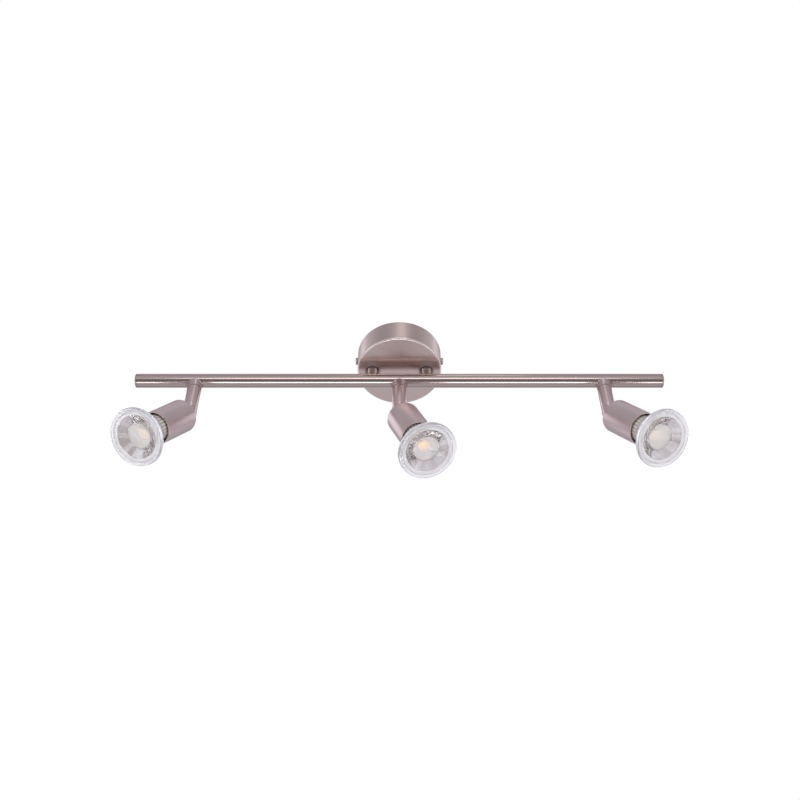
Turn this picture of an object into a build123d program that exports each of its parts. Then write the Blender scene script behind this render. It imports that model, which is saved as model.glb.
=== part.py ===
from build123d import *
import math
import os

# Ceiling spot bar: round canopy, straight bar on posts, three adjustable lamp heads.
# Millimetres. +Z up, +X along the bar. Origin: centre of the ceiling screw pattern,
# on the ceiling plane. Everything hangs below z = 0.

# ---------------------------------------------------------------- driving dimensions
canopy_r = 37.4          # canopy outer radius
canopy_h = 24.0          # canopy height
canopy_wall = 1.0
canopy_edge_r = 1.6      # rounded edge between wall and face

bar_r = 6.2              # bar tube outer radius
bar_bore_r = 5.2
bar_len = 466.0          # over the end caps
cap_t = 2.0              # visible thickness of an end cap
bar_drop = 12.7          # canopy face to bar axis
bar_z = -(canopy_h + bar_drop)

post_x = 24.0            # posts at plus and minus this x
post_r = 5.8
nipple_r = 4.0
nipple_bore_r = 3.2

head_x = 180.0           # outer heads at plus and minus this x
neck_r = 6.3             # visible neck under the bar
neck_rim = 3.9           # bar axis to the neck's rounded rim
journal_r = 4.0          # neck journal in the stem
journal_hole_r = 4.05
neck_bore_r = 2.5
seam_drop = 11.75        # bar axis to stem top
stem_r = 6.15
stem_bore_r = 5.0
stem_top_wall = 4.0

hinge_drop = 42.6        # bar axis to tilt axis
hinge_back = 10.9        # tilt axis to cup back face
ear_slot = 6.2           # gap between the fork's ears
tongue_t = 5.8
tongue_r = 5.7
tongue_gap = 3.0         # lead channel between the tongue's cheeks
trunnion_r = 1.75
trunnion_hole_r = 1.80

cup_r = 14.2
cup_bore_r = 13.3
cup_len = 43.2
cup_back_t = 1.2
lamp_front = 69.8        # cup back face to the lamp's front plane

lamp_r = 24.4            # lamp flange radius
lens_r = 21.4
pin_pitch_r = 5.0        # lamp pins at this radius
pin_neck_r = 1.5
pin_head_r = 2.5
base_r = 11.4
twist_deg = 25.0         # lamp turn from locked to free

# tilt from straight down, and azimuth of the tilt from +X, as the heads are set
heads = {
    "left": (-head_x, 33.0, -132.9),
    "middle": (0.0, 23.7, -45.0),
    "right": (head_x, 32.6, -45.4),
}

sleeve_r = 1.2           # sleeved two-core lead
wire_r = 0.6             # single lead in the head
core_r = 0.7             # single core in the canopy

os.makedirs("parts", exist_ok=True)


# ---------------------------------------------------------------- helpers
def cyl(r, z0, z1, x=0.0, y=0.0):
    return Pos(x, y, (z0 + z1) / 2) * Cylinder(r, abs(z1 - z0))


def cyl_x(r, x0, x1, y=0.0, z=0.0):
    return Pos((x0 + x1) / 2, y, z) * Rot(0, 90, 0) * Cylinder(r, abs(x1 - x0))


def cyl_y(r, y0, y1, x=0.0, z=0.0):
    return Pos(x, (y0 + y1) / 2, z) * Rot(90, 0, 0) * Cylinder(r, abs(y1 - y0))


def block(x0, x1, y0, y1, z0, z1):
    return Pos((x0 + x1) / 2, (y0 + y1) / 2, (z0 + z1) / 2) * Box(
        abs(x1 - x0), abs(y1 - y0), abs(z1 - z0)
    )


def turned(*lines):
    outline = lines[0]
    for extra in lines[1:]:
        outline = outline + extra
    return revolve(make_face(Plane.XZ * outline), Axis.Z)


def lead(points, r, radii):
    path = FilletPolyline(*points, radius=radii)
    body = sweep(Plane(origin=path @ 0, z_dir=path % 0) * Circle(r), path=path)
    ideal = math.pi * r * r * path.length
    assert abs(body.volume - ideal) < 0.01 * ideal, (body.volume, ideal)
    return body


def arc_sector(r0, r1, a0, a1, z0, z1):
    # ring sector between two radii and two angles, by a fan outline
    steps = 12
    outer = []
    for i in range(steps + 1):
        a = math.radians(a0 + (a1 - a0) * i / steps)
        outer.append((1.6 * r1 * math.cos(a), 1.6 * r1 * math.sin(a)))
    fan = make_face(Polyline((0, 0), *outer, close=True))
    ring = Pos(0, 0, z0) * extrude(Circle(r1) - Circle(r0), z1 - z0)
    return ring & (Pos(0, 0, z0) * extrude(fan, z1 - z0))


def save(name, shapes):
    if isinstance(shapes, (list, tuple)):
        solids = [s for shape in shapes for s in shape.solids()]
    else:
        solids = shapes.solids()
    body = solids[0] if len(solids) == 1 else Compound(solids)
    export_step(body, "parts/%s.step" % name)


# ---------------------------------------------------------------- canopy and bracket
face_in = -(canopy_h - canopy_wall)
canopy_in_r = canopy_r - canopy_wall
screw_z = -9.1

canopy = cyl(canopy_r, -canopy_h, 0)
canopy = fillet(canopy.edges().group_by(Axis.Z)[0], canopy_edge_r)
canopy_hollow = cyl(canopy_in_r, face_in, 1)
canopy_hollow = fillet(canopy_hollow.edges().group_by(Axis.Z)[0], 0.8)
canopy = canopy - canopy_hollow
for sx in (-1, 1):
    canopy = canopy - cyl(nipple_r + 0.1, -canopy_h - 1, face_in + 1, sx * post_x)
    canopy = canopy - cyl_x(2.15, sx * 30, sx * 40, 0, screw_z)
save("canopy", canopy)

leg_x = canopy_r - 2.0
strap_t = 1.5
bracket = block(-leg_x, leg_x, -7, 7, -strap_t, 0) + block(-28, 28, -10, 10, -strap_t, 0)
bracket = bracket + block(-8, 8, 9, 28, -strap_t, 0)
for sx in (-1, 1):
    bracket = bracket + block(sx * (leg_x - strap_t), sx * leg_x, -7, 7, -14.5, 0)
bend_edges = [
    e
    for e in bracket.edges().filter_by(Axis.Y)
    if abs(abs(e.center().X) - leg_x) < 0.01 and abs(e.center().Z) < 0.01
]
bracket = fillet(bend_edges, 1.3)
slot_x, slot_len, slot_w = 22.0, 10.0, 4.6
for sx in (-1, 1):
    slot = extrude(Pos(sx * slot_x, 0, -3) * SlotOverall(slot_len, slot_w), 5)
    bracket = bracket - slot - cyl_x(2.0, sx * 30, sx * 38, 0, screw_z)
bracket = bracket - cyl(5.0, -3, 1)
earth_x, earth_y = 11.5, -6.0
bracket = bracket - cyl(2.0, -3, 1, earth_x, earth_y)
for sx in (-1, 1):
    bracket = bracket - cyl(1.6, -3, 1, sx * 4.5, 20)
save("mounting_bracket", bracket)

side_screws = []
for sx in (-1, 1):
    head = cyl(3.2, 0, 2.0)
    head = fillet(head.edges().group_by(Axis.Z)[-1], 1.1)
    head = head - block(-4, 4, -0.45, 0.45, 1.1, 3)
    shank = cyl(1.95, -4.6, 0.2)
    screw = head + shank
    side_screws.append(Pos(sx * (canopy_r + 0.05), 0, screw_z) * Rot(0, sx * 90, 0) * screw)
save("canopy_side_screws", side_screws)

earth_head = cyl(3.6, -4.7, -2.35)
earth_head = fillet(earth_head.edges().group_by(Axis.Z)[0], 0.6)
earth_head = earth_head - block(-4, 4, -0.5, 0.5, -6, -3.7)
earth_screw = earth_head + cyl(1.95, -2.5, -0.1)
save("earth_screw", Pos(earth_x, earth_y, 0) * earth_screw)

# ---------------------------------------------------------------- terminal block
pole_x = (-9.0, 0.0, 9.0)
pole_z = -7.6
clamp_y = (16.0, 24.0)
terminal = block(-13.5, 13.5, 12, 28, -13.6, -1.6)
terminal = fillet(terminal.edges().filter_by(Axis.Y), 1.0)
for sx in (-1, 1):
    terminal = terminal + cyl(1.5, -2.0, -0.1, sx * 4.5, 20)
    terminal = terminal - block(sx * 4.5 - 0.9, sx * 4.5 + 0.9, 11, 29, -14, -11.5)
inserts = []
clamps = []
for px in pole_x:
    terminal = terminal - cyl_y(2.55, 11, 29, px, pole_z)
    tube = cyl_y(2.5, 12.6, 27.4, px, pole_z) - cyl_y(1.5, 12, 28, px, pole_z)
    for cy in clamp_y:
        terminal = terminal - cyl(2.1, -14, pole_z, px, cy)
        tube = tube - cyl(1.25, -11, pole_z, px, cy)
        clamp = cyl(1.9, -13.1, -11.0, px, cy) + cyl(1.2, -11.2, -8.95, px, cy)
        clamp = clamp - block(px - 2.5, px + 2.5, cy - 0.3, cy + 0.3, -14, -12.4)
        clamps.append(clamp)
    inserts.append(tube)
save("terminal_block", terminal)
save("terminal_inserts", inserts)
save("terminal_screws", clamps)

# ---------------------------------------------------------------- posts, nipples, nuts
posts = []
nipples = []
nuts = []
nut_top = face_in + 4.9
for sx in (-1, 1):
    x = sx * post_x
    post = cyl(post_r, bar_z, -canopy_h, x) - cyl(nipple_r + 0.1, bar_z - 1, -canopy_h + 1, x)
    post = post - cyl_x(bar_r + 0.02, x - 12, x + 12, 0, bar_z)
    posts.append(post)
    nipples.append(
        cyl(nipple_r, bar_z + 3.4, face_in + 6.5, x)
        - cyl(nipple_bore_r, bar_z - 1, 0, x)
    )
    nut = extrude(Pos(x, 0, face_in + 1.1) * RegularPolygon(7.2, 6), 3.8)
    nut = nut + cyl(8.4, face_in + 0.02, face_in + 1.2, x)
    nut = nut - cyl(nipple_r + 0.04, face_in - 1, 0, x)
    nuts.append(nut)
save("spacer_posts", posts)
save("hollow_nipples", nipples)
save("nipple_nuts", nuts)

# ---------------------------------------------------------------- bar and end caps
tube_half = bar_len / 2 - cap_t
bar = cyl_x(bar_r, -tube_half, tube_half, 0, bar_z) - cyl_x(
    bar_bore_r, -tube_half - 1, tube_half + 1, 0, bar_z
)
for sx in (-1, 1):
    bar = bar - cyl(nipple_r + 0.05, bar_z, bar_z + 10, sx * post_x)
for name in heads:
    bar = bar - cyl(journal_r + 0.05, bar_z - 10, bar_z, heads[name][0])
save("bar_tube", bar)

caps = []
for sx in (-1, 1):
    disc = cyl(bar_r, 0.02, cap_t)
    disc = fillet(disc.edges().group_by(Axis.Z)[-1], 1.5)
    cap = disc + cyl(bar_bore_r - 0.05, -6, 0.1)
    caps.append(Pos(sx * tube_half, 0, bar_z) * Rot(0, sx * 90, 0) * cap)
save("bar_end_caps", caps)

# ---------------------------------------------------------------- necks
seam_z = bar_z - seam_drop
neck_bottom = seam_z - stem_top_wall - 1.8
necks = []
for name in heads:
    x = heads[name][0]
    neck = cyl(neck_r, seam_z + 0.2, bar_z - neck_rim, x)
    neck = fillet(neck.edges().group_by(Axis.Z)[-1], 0.9)
    neck = neck - cyl_x(bar_r + 0.02, x - 12, x + 12, 0, bar_z)
    neck = neck + cyl(journal_r, neck_bottom + 1.0, bar_z - 3.6, x)
    neck = neck + cyl(4.7, neck_bottom, seam_z - stem_top_wall - 0.25, x)
    neck = neck - cyl(neck_bore_r, neck_bottom - 1, bar_z, x)
    necks.append(neck)
save("swivel_necks", necks)

# ---------------------------------------------------------------- harness
# Sleeved leads run from a splice in the canopy through the posts and the bar to each
# neck; two cores join the splice to the terminal block, one core earths the bracket.
low_z = bar_z - 2.0
lead_end = neck_bottom + 0.3
splice = cyl_x(3.0, -8, 8, -16, -18)
splice = fillet(splice.edges(), 0.6)
harness = [
    splice,
    lead(
        [
            (-8.05, -17.4, -18),
            (-16, -17.4, -18),
            (-25.3, -8, -11),
            (-25.3, 0, -10),
            (-25.3, 0, low_z),
            (-head_x, 0, low_z),
            (-head_x, 0, lead_end),
        ],
        sleeve_r,
        [5.0, 5.0, 3.0, 3.5, 3.5],
    ),
    lead(
        [
            (-8.05, -14.6, -18),
            (-14, -14.6, -18),
            (-22.7, -8, -13.5),
            (-22.7, 0, -13),
            (-22.7, 0, low_z),
            (0, 0, low_z),
            (0, 0, lead_end),
        ],
        sleeve_r,
        [5.0, 5.0, 3.0, 3.5, 3.5],
    ),
    lead(
        [
            (8.05, -16, -18),
            (16, -16, -18),
            (24, -8, -12),
            (24, 0, -11),
            (24, 0, low_z),
            (head_x, 0, low_z),
            (head_x, 0, lead_end),
        ],
        sleeve_r,
        [5.0, 5.0, 3.0, 3.5, 3.5],
    ),
]
for sx in (-1, 1):
    harness.append(
        lead(
            [
                (sx * 8.05, -16, -15.9),
                (sx * 12.5, -16, -15.9),
                (sx * 14, -6, -8.6),
                (sx * 9, 5, pole_z),
                (sx * 9, 14.0, pole_z),
            ],
            core_r,
            [2.5, 4.0, 4.0],
        )
    )
lug = cyl(3.5, -2.3, -1.52) - cyl(2.15, -4, 0)
lug = lug + block(-1.5, 1.5, 3, 7, -2.3, -1.52) - cyl(2.15, -4, 0)
harness.append(Pos(earth_x, earth_y, 0) * lug)
harness.append(
    lead(
        [
            (earth_x, earth_y + 4.6, -3.05),
            (earth_x, 2.5, -3.3),
            (5.5, 9.0, -6.5),
            (0, 10.5, pole_z),
            (0, 14.0, pole_z),
        ],
        core_r,
        [2.5, 3.0, 1.2],
    )
)
save("bar_harness", harness)

# ---------------------------------------------------------------- heads
hinge_z = bar_z - hinge_drop
fork_top = 7.5           # tilt axis to the stem's lower end


def make_stem_parts(suffix, x, azimuth):
    # frame on the tilt axis: local X along the tilt axis, local Z up the stem
    a = math.radians(azimuth)
    frame = Plane(origin=(x, 0, hinge_z), x_dir=(math.sin(a), -math.cos(a), 0), z_dir=(0, 0, 1))
    top = seam_z - hinge_z
    stem = cyl(stem_r, fork_top + 0.02, top)
    stem = chamfer(stem.edges().group_by(Axis.Z)[-1], 0.6)
    stem = stem - cyl(stem_bore_r, fork_top - 1, top - stem_top_wall)
    stem = stem - cyl(journal_hole_r, fork_top, top + 1)
    save("stem_" + suffix, frame.location * stem)

    fork = cyl(stem_r, 0, fork_top)
    fork = fork + (cyl(stem_r, -stem_r, 0.1) & cyl_x(stem_r, -stem_r, stem_r))
    fork = fork - block(-ear_slot / 2, ear_slot / 2, -8, 8, -8, 6.3)
    fork = fork + cyl(stem_bore_r - 0.05, fork_top - 0.5, fork_top + 7)
    fork = fork - cyl(1.6, 5, fork_top + 8)
    for s in (-1, 1):
        fork = fork - cyl_x(trunnion_hole_r, s * 2, s * 7) - cyl_x(3.0, s * 4.2, s * 7)
    save("stem_fork_" + suffix, frame.location * fork)

    screws = []
    for s in (-1, 1):
        screw = cyl_x(2.8, s * 4.25, s * 5.3) + cyl_x(trunnion_r, s * 1.7, s * 4.3)
        screw = screw - block(s * 4.75, s * 7, -0.4, 0.4, -4, 4)
        screws.append(frame.location * screw)
    save("tilt_screws_" + suffix, screws)

    run = cyl(sleeve_r, fork_top - 0.6, neck_bottom - hinge_z - 0.3)
    save("stem_lead_" + suffix, frame.location * run)


def lamp_outline(points):
    return [(r, lamp_front - u) for r, u in points]


def make_cup_parts(suffix, x, tilt, azimuth):
    # frame on the cup's back face: local X along the tilt axis, local Z out of the mouth
    a, d = math.radians(azimuth), math.radians(tilt)
    axis = (math.sin(d) * math.cos(a), math.sin(d) * math.sin(a), -math.cos(d))
    back = (
        x + hinge_back * axis[0],
        hinge_back * axis[1],
        hinge_z + hinge_back * axis[2],
    )
    place = Plane(origin=back, x_dir=(math.sin(a), -math.cos(a), 0), z_dir=axis).location

    cup = cyl(cup_r, 0, cup_len)
    cup = fillet(cup.edges().group_by(Axis.Z)[0], 2.0)
    hollow = cyl(cup_bore_r, cup_back_t, cup_len + 1)
    hollow = fillet(hollow.edges().group_by(Axis.Z)[0], 1.2)
    cup = cup - hollow - cyl(4.55, -1, 3)
    for s in (-1, 1):
        cup = cup - cyl(1.5, -1, 3, 0, s * 9.0)
    save("cup_" + suffix, place * cup)

    tongue = block(-tongue_t / 2, tongue_t / 2, -tongue_r, tongue_r, -hinge_back, -4.0)
    tongue = tongue + cyl_x(tongue_r, -tongue_t / 2, tongue_t / 2, 0, -hinge_back)
    tongue = tongue - block(-tongue_gap / 2, tongue_gap / 2, -8, 8, -20, -6.3)
    collar = cyl(stem_r, -4.3, -0.02)
    collar = fillet(collar.edges().group_by(Axis.Z)[0], 0.5)
    tongue = tongue + collar + cyl(4.5, -0.1, 2.0) + cyl(5.5, cup_back_t + 0.02, 2.2)
    tongue = tongue - cyl(1.6, -8, 4) - cyl_x(trunnion_hole_r, -5, 5, 0, -hinge_back)
    save("cup_tongue_" + suffix, place * tongue)

    # lampholder: body with arc slots for the lamp pins, feet on the cup's back, skirt
    holder = cyl(12.9, 8.4, 20.4) + (cyl(13.1, 19.0, 36.0) - cyl(12.4, 20.4, 37))
    for s in (-1, 1):
        holder = holder + cyl(3.2, 1.35, 8.6, 0, s * 9.0)
    for turn in (0, 180):
        pocket = arc_sector(1.9, 8.1, -33, twist_deg + 33, 11.6, 16.4)
        slot = arc_sector(pin_pitch_r - 1.8, pin_pitch_r + 1.8, -22, twist_deg, 16.0, 21)
        entry_a = math.radians(twist_deg)
        entry = cyl(2.9, 16.0, 21, pin_pitch_r * math.cos(entry_a), pin_pitch_r * math.sin(entry_a))
        tail = cyl(1.2, 8, 12, pin_pitch_r, 0)
        holder = holder - Rot(0, 0, turn) * (pocket + slot + entry + tail)
    for s in (-1, 1):
        holder = holder - cyl(1.5, 1, 19, 0, s * 9.0) - cyl(2.7, 17.8, 21, 0, s * 9.0)
    save("lampholder_" + suffix, place * holder)

    screws = []
    contacts = []
    leads = []
    for s, turn in ((1, 0), (-1, 180)):
        head = cyl(2.5, 17.85, 20.1, 0, s * 9.0) - block(-3, 3, s * 9 - 0.35, s * 9 + 0.35, 19.3, 21)
        screws.append(place * (head + cyl(1.45, 0.3, 18.0, 0, s * 9.0)))
        leaf = block(3.2, 6.6, -1.8, 3.9, 12.8, 13.4) + cyl(0.9, 8.0, 13.0, pin_pitch_r, 0)
        contacts.append(place * (Rot(0, 0, turn) * leaf))
        wire = lead(
            [(5, 0, 7.9), (5, 0, 6.3), (0.75, 0, 4.0), (0.75, 0, -10.0)],
            wire_r,
            [1.3, 1.3],
        )
        leads.append(place * (Rot(0, 0, turn) * wire))
    save("lampholder_screws_" + suffix, screws)
    save("lampholder_contacts_" + suffix, contacts)
    save("lampholder_leads_" + suffix, leads)
    return place


def cap_middle(edge_r, edge_u, centre_u):
    # point half way out on a spherical cap centred on the lamp's axis
    rise = centre_u - edge_u
    ball = (edge_r**2 + rise**2) / (2 * abs(rise))
    half = edge_r / 2
    drop = ball - math.sqrt(ball**2 - half**2)
    return (half, centre_u - math.copysign(drop, rise))


def make_lamp_parts(suffix, place):
    # outlines are (radius, distance behind the lamp's front plane)
    flange = lamp_outline(
        [
            (lens_r + 0.1, 0.7), (lens_r + 0.5, 0.2), (lamp_r - 1.45, 0.0), (lamp_r - 0.55, 0.4),
            (lamp_r, 1.7), (lamp_r - 0.3, 3.0), (lamp_r - 1.35, 4.2),
        ]
    )
    outer = lamp_outline(
        [(lamp_r - 1.35, 4.2), (21.7, 5.8), (18.5, 11.6), (15.8, 16.0), (13.4, 20.0), (12.1, 23.6), (11.5, 27.5)]
    )
    inner = lamp_outline(
        [(9.7, 27.5), (10.3, 23.8), (11.8, 20.6), (14.1, 16.6), (16.7, 12.2), (19.5, 6.6), (20.0, 4.0)]
    )
    glass = turned(
        Polyline(*flange),
        Spline(*outer),
        Polyline(outer[-1], (11.5, 28.8), (9.7, 28.8), inner[0]),
        Spline(*inner),
        Polyline(inner[-1], *lamp_outline([(20.0, 2.4), (lens_r + 0.1, 2.4), (lens_r + 0.1, 0.7)])),
    )
    save("lamp_glass_" + suffix, place * glass)

    front = lamp_outline([(lens_r, 2.3), (lens_r, 0.9), (18.4, 0.9), (17.95, 1.3), (11.2, 4.9), (10.75, 4.9)])
    dome = lamp_outline([(10.75, 4.9), cap_middle(10.75, 4.9, 3.4), (0.0, 3.4)])
    rear = lamp_outline([(0.0, 3.4), (0.0, 9.2)])
    pocket = lamp_outline([(0.0, 9.2), cap_middle(5.4, 10.8, 9.2), (5.4, 10.8)])
    lip = lamp_outline([(5.4, 10.8), (5.7, 13.0), (7.4, 13.0)])
    cone = lamp_outline([(7.4, 13.0), (13.6, 7.8), (18.3, 2.3)])
    ring = lamp_outline([(18.3, 2.3), (lens_r, 2.3)])
    lens = turned(
        Polyline(*front),
        ThreePointArc(*dome),
        Polyline(*rear),
        ThreePointArc(*pocket),
        Polyline(*lip),
        ThreePointArc(*cone),
        Polyline(*ring),
    )
    save("lamp_lens_" + suffix, place * lens)

    def depth(u):
        return lamp_front - u

    module = cyl(10.8, depth(16.0), depth(14.4)) + cyl(8.2, 34.1, depth(15.9))
    chip = cyl(6.2, depth(14.6), depth(13.5))
    chip = fillet(chip.edges().group_by(Axis.Z)[-1], 0.6)
    save("led_module_" + suffix, place * (module + chip))

    base = cyl(base_r, 20.7, 28.7)
    base = fillet(base.edges().group_by(Axis.Z)[0], 1.0)
    base = base + cyl(9.5, 28.5, 34.0)
    pins = []
    for s in (-1, 1):
        base = base - cyl(pin_neck_r + 0.03, 20, 25.0, s * pin_pitch_r)
        foot = cyl(pin_head_r, 13.7, 16.1, s * pin_pitch_r)
        foot = fillet(foot.edges().group_by(Axis.Z)[0], 0.5)
        pins.append(place * (foot + cyl(pin_neck_r, 16.0, 24.9, s * pin_pitch_r)))
    save("lamp_base_" + suffix, place * base)
    save("lamp_pins_" + suffix, pins)


for suffix, (x, tilt, azimuth) in heads.items():
    make_stem_parts(suffix, x, azimuth)
    cup_place = make_cup_parts(suffix, x, tilt, azimuth)
    make_lamp_parts(suffix, cup_place)
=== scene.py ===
import math

import bmesh
import bpy
from mathutils import Matrix, Vector


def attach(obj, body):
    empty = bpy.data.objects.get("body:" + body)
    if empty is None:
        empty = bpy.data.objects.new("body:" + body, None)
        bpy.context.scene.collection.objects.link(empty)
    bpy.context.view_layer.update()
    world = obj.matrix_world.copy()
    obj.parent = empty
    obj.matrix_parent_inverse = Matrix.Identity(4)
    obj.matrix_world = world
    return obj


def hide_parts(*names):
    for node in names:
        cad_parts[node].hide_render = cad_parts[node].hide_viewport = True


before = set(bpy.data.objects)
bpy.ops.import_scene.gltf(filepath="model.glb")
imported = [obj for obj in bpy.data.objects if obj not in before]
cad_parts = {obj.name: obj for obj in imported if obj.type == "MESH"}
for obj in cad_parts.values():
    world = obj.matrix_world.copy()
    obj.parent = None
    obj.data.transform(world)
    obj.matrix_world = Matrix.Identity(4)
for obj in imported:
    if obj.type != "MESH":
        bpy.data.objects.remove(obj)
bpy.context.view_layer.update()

MM = 0.001

# ------------------------------------------------------------------ sizes, in millimetres
CANOPY_R, CANOPY_H = 37.4, 24.0
BAR_R, BAR_BORE, BAR_LEN = 6.2, 5.2, 466.0
CAP_T = 2.0
BAR_Z = -36.7
SCREW_Z = -9.1
POST_X, POST_R = 24.0, 5.8
HEAD_X = 180.0
NECK_R, NECK_RIM, STEM_R = 6.3, 3.9, 6.15
SEAM_Z = BAR_Z - 11.75
HINGE_Z = BAR_Z - 42.6
HINGE_BACK = 10.9
CUP_R, CUP_BORE, CUP_LEN = 14.2, 13.3, 43.2
LAMP_FRONT = 69.8
LAMP_R, LENS_R = 24.4, 21.4
PITCH = 1.6
FLUTES = 22
HEADS = {
    "left": (-HEAD_X, 33.0, -132.9),
    "middle": (0.0, 23.7, -45.0),
    "right": (HEAD_X, 32.6, -45.4),
}


# ------------------------------------------------------------------ mesh helpers
def placed(origin=(0, 0, 0), x_dir=(1, 0, 0), z_dir=(0, 0, 1)):
    z = Vector(z_dir).normalized()
    x = Vector(x_dir)
    x = (x - z * x.dot(z)).normalized()
    y = z.cross(x)
    m = Matrix.Identity(4)
    for i in range(3):
        m[i][0], m[i][1], m[i][2], m[i][3] = x[i], y[i], z[i], origin[i] * MM
    return m


def rounded(corners, steps=6, closed=True):
    """Outline from (r, z, radius) corners, each corner turned into an arc of its radius."""
    out = []
    n = len(corners)
    for i, (r, z, rad) in enumerate(corners):
        p = Vector((r, z))
        ends = not closed and i in (0, n - 1)
        if rad <= 0 or ends:
            out.append((p.x, p.y))
            continue
        a = Vector(corners[(i - 1) % n][:2]) - p
        b = Vector(corners[(i + 1) % n][:2]) - p
        la, lb = a.length, b.length
        a, b = a / la, b / lb
        half = math.acos(max(-1, min(1, a.dot(b)))) / 2
        cut = min(rad / math.tan(half), la * 0.499, lb * 0.499)
        rad = cut * math.tan(half)
        centre = p + (a + b).normalized() * (rad / math.sin(half))
        s, e = p + a * cut - centre, p + b * cut - centre
        sweep = math.atan2(s.x * e.y - s.y * e.x, s.dot(e))
        for k in range(steps + 1):
            t = sweep * k / steps
            c, w = math.cos(t), math.sin(t)
            out.append((centre.x + s.x * c - s.y * w, centre.y + s.x * w + s.y * c))
    return out


def smooth_line(points, per=5):
    """Curve through the points."""
    out = []
    n = len(points)
    for i in range(n - 1):
        p0 = points[max(i - 1, 0)]
        p1, p2 = points[i], points[i + 1]
        p3 = points[min(i + 2, n - 1)]
        for k in range(per):
            t = k / per
            out.append(tuple(
                0.5 * (2 * b + (c - a) * t + (2 * a - 5 * b + 4 * c - d) * t * t + (3 * b - a - 3 * c + d) * t ** 3)
                for a, b, c, d in zip(p0, p1, p2, p3)))
    out.append(tuple(points[-1]))
    return out


def keep(bm, name, matrix=None):
    mesh = bpy.data.meshes.new(name)
    bmesh.ops.remove_doubles(bm, verts=bm.verts, dist=1e-8)
    bmesh.ops.recalc_face_normals(bm, faces=bm.faces)
    bm.to_mesh(mesh)
    bm.free()
    obj = bpy.data.objects.new(name, mesh)
    bpy.context.scene.collection.objects.link(obj)
    if matrix is not None:
        obj.matrix_world = matrix
    return obj


def revolve(name, outline, matrix=None, seg=96, bump=None):
    """Closed (r, z) outline turned about local Z. bump(x, y, r, i) shifts a point along Z."""
    bm = bmesh.new()
    rings = []
    for i, (r, z) in enumerate(outline):
        if r < 1e-6:
            dz = bump(0.0, 0.0, 0.0, i) if bump else 0.0
            rings.append([bm.verts.new((0, 0, (z + dz) * MM))])
            continue
        ring = []
        for k in range(seg):
            a = 2 * math.pi * k / seg
            x, y = r * math.cos(a), r * math.sin(a)
            dz = bump(x, y, r, i) if bump else 0.0
            ring.append(bm.verts.new((x * MM, y * MM, (z + dz) * MM)))
        rings.append(ring)
    n = len(rings)
    for i in range(n):
        a, b = rings[i], rings[(i + 1) % n]
        if len(a) == 1 and len(b) == 1:
            continue
        for k in range(seg):
            j = (k + 1) % seg
            if len(a) == 1:
                bm.faces.new((a[0], b[k], b[j]))
            elif len(b) == 1:
                bm.faces.new((a[k], b[0], a[j]))
            else:
                bm.faces.new((a[k], b[k], b[j], a[j]))
    return keep(bm, name, matrix)


def rod(r, z0, z1, matrix=None, seg=64):
    return revolve("cutter", [(0, z0), (r, z0), (r, z1), (0, z1)], matrix, seg)


def brick(x0, x1, y0, y1, z0, z1, matrix=None, name="cutter"):
    bm = bmesh.new()
    bmesh.ops.create_cube(bm, size=1.0)
    for v in bm.verts:
        v.co = Vector((
            (x0 if v.co.x < 0 else x1) * MM,
            (y0 if v.co.y < 0 else y1) * MM,
            (z0 if v.co.z < 0 else z1) * MM,
        ))
    return keep(bm, name, matrix)


def prism(outline, x0, x1, matrix=None, name="cutter"):
    """A (y, z) outline stretched along local X."""
    bm = bmesh.new()
    a = [bm.verts.new((x0 * MM, y * MM, z * MM)) for y, z in outline]
    b = [bm.verts.new((x1 * MM, y * MM, z * MM)) for y, z in outline]
    n = len(outline)
    bm.faces.new(a)
    bm.faces.new(b)
    for i in range(n):
        j = (i + 1) % n
        bm.faces.new((a[i], b[i], b[j], a[j]))
    return keep(bm, name, matrix)


def carve(obj, tools, how="DIFFERENCE"):
    for t in tools:
        m = obj.modifiers.new("carve", "BOOLEAN")
        m.operation, m.solver, m.object = how, "EXACT", t
        settle(obj)
    for t in tools:
        mesh = t.data
        bpy.data.objects.remove(t)
        bpy.data.meshes.remove(mesh)
    return obj


def settle(obj):
    """Bakes the modifiers into the mesh."""
    bpy.context.view_layer.update()
    deps = bpy.context.evaluated_depsgraph_get()
    mesh = bpy.data.meshes.new_from_object(obj.evaluated_get(deps))
    old = obj.data
    obj.modifiers.clear()
    obj.data = mesh
    mesh.name = obj.name
    bpy.data.meshes.remove(old)
    return obj


def soften(obj, width, steps=2, angle=35):
    m = obj.modifiers.new("edge", "BEVEL")
    m.width, m.segments, m.limit_method, m.angle_limit = width * MM, steps, "ANGLE", math.radians(angle)
    m.harden_normals = False
    m.use_clamp_overlap = True
    return settle(obj)


def join(name, parts):
    """One object from several, at the origin."""
    bm = bmesh.new()
    for p in parts:
        bpy.context.view_layer.update()
        mesh = p.data.copy()
        mesh.transform(p.matrix_world)
        bm.from_mesh(mesh)
        bpy.data.meshes.remove(mesh)
        old = p.data
        bpy.data.objects.remove(p)
        bpy.data.meshes.remove(old)
    mesh = bpy.data.meshes.new(name)
    bm.to_mesh(mesh)
    bm.free()
    obj = bpy.data.objects.new(name, mesh)
    bpy.context.scene.collection.objects.link(obj)
    return obj


def shade(obj, angle=32):
    mesh = obj.data
    mesh.polygons.foreach_set("use_smooth", [True] * len(mesh.polygons))
    mesh.set_sharp_from_angle(angle=math.radians(angle))
    mesh.update()


def true_round(obj, radius):
    """Shades the cylinder of this radius about local Z as an exact cylinder."""
    mesh = obj.data
    normals = [c.vector.copy() for c in mesh.corner_normals]
    for poly in mesh.polygons:
        for i in poly.loop_indices:
            co = mesh.vertices[mesh.loops[i].vertex_index].co
            r = math.hypot(co.x, co.y)
            if abs(r - radius * MM) < 4e-6:
                out = Vector((co.x / r, co.y / r, 0))
                if out.dot(poly.normal) > 0.95:
                    normals[i] = out
    mesh.normals_split_custom_set(normals)


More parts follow.
